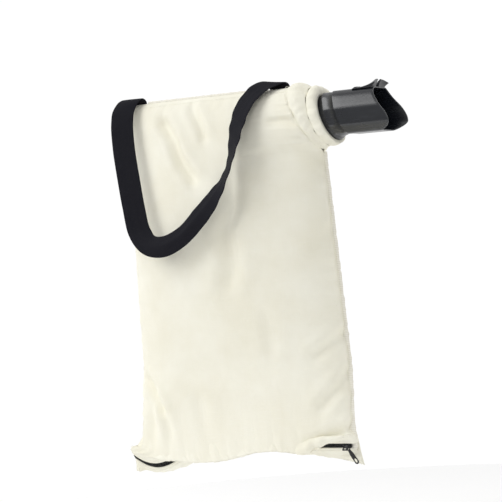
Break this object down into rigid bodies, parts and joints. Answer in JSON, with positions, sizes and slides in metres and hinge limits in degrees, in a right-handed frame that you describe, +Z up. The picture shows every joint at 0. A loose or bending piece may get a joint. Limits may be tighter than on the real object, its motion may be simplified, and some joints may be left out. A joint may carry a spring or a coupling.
{
  "type": "leaf blower collection bag",
  "caption": "Cloth collection bag for a garden blower vacuum: canvas sack with a moulded inlet duct, gathered neck, bottom zip and webbing shoulder strap.",
  "frame": {"origin": "centre of the duct's stop ring, on the duct's axis", "axes": "+X out of the duct's mouth, +Z up, the sack hangs below in the XZ plane with its front towards -Y"},
  "size_m": [0.5584, 0.1818, 0.6715],
  "materials": {
    "duct_plastic": "fine satin texture",
    "canvas": "plain-weave cotton canvas",
    "thread": "overlock and bar-tack thread",
    "elastic": "covered round elastic",
    "webbing": "ribbed webbing",
    "zip_tape": "woven tape",
    "zip_nylon": "moulded coil",
    "zip_metal": "black lacquer"
  },
  "bodies": {
    "duct": {"duct_shell": "duct_plastic"},
    "cuff": {"neck_hem": "canvas", "neck_elastic": "elastic"},
    "sack": {"neck_sleeve": "canvas", "neck_welt": "thread", "front_panel": "canvas", "back_panel": "canvas", "side_seam_left": "thread", "side_seam_right": "thread", "top_seam": "thread", "zip_tape_front": "zip_tape", "zip_tape_back": "zip_tape", "zip_coil_front": "zip_nylon", "zip_coil_back": "zip_nylon", "zip_stop_front": "zip_metal", "zip_stop_back": "zip_metal", "zip_bottom_stop": "zip_metal", "strap_end_left": "webbing", "strap_end_right": "webbing", "bar_tack_left": "thread", "bar_tack_right": "thread"},
    "strap": {"shoulder_strap": "webbing"},
    "slider": {"slider_body": "zip_metal", "slider_bail": "zip_metal"},
    "pull": {"zip_pull": "zip_metal"}
  },
  "joints": [
    {"name": "neck_swivel", "type": "hinge", "parent": "duct", "child": "cuff", "pos_m": [0, 0, 0], "axis": [1, 0, 0], "range_deg": [-20, 20]},
    {"name": "neck_tilt", "type": "hinge", "parent": "cuff", "child": "sack", "pos_m": [-0.092, 0, 0], "axis": [0, 1, 0], "range_deg": [-6, 14], "deforming": ["neck_sleeve"]},
    {"name": "strap_swing", "type": "hinge", "parent": "sack", "child": "strap", "pos_m": [-0.446, -0.029, 0.048], "axis": [-0.999, 0.0419, 0.0153], "range_deg": [0, 82]},
    {"name": "zip_travel", "type": "slide", "parent": "sack", "child": "slider", "axis": [-1, 0, 0], "range_m": [0, 0.26]},
    {"name": "pull_swing", "type": "hinge", "parent": "slider", "child": "pull", "pos_m": [-0.049, -0.02382, -0.55089], "axis": [0, 1, 0], "range_deg": [-50, 90]}
  ]
}
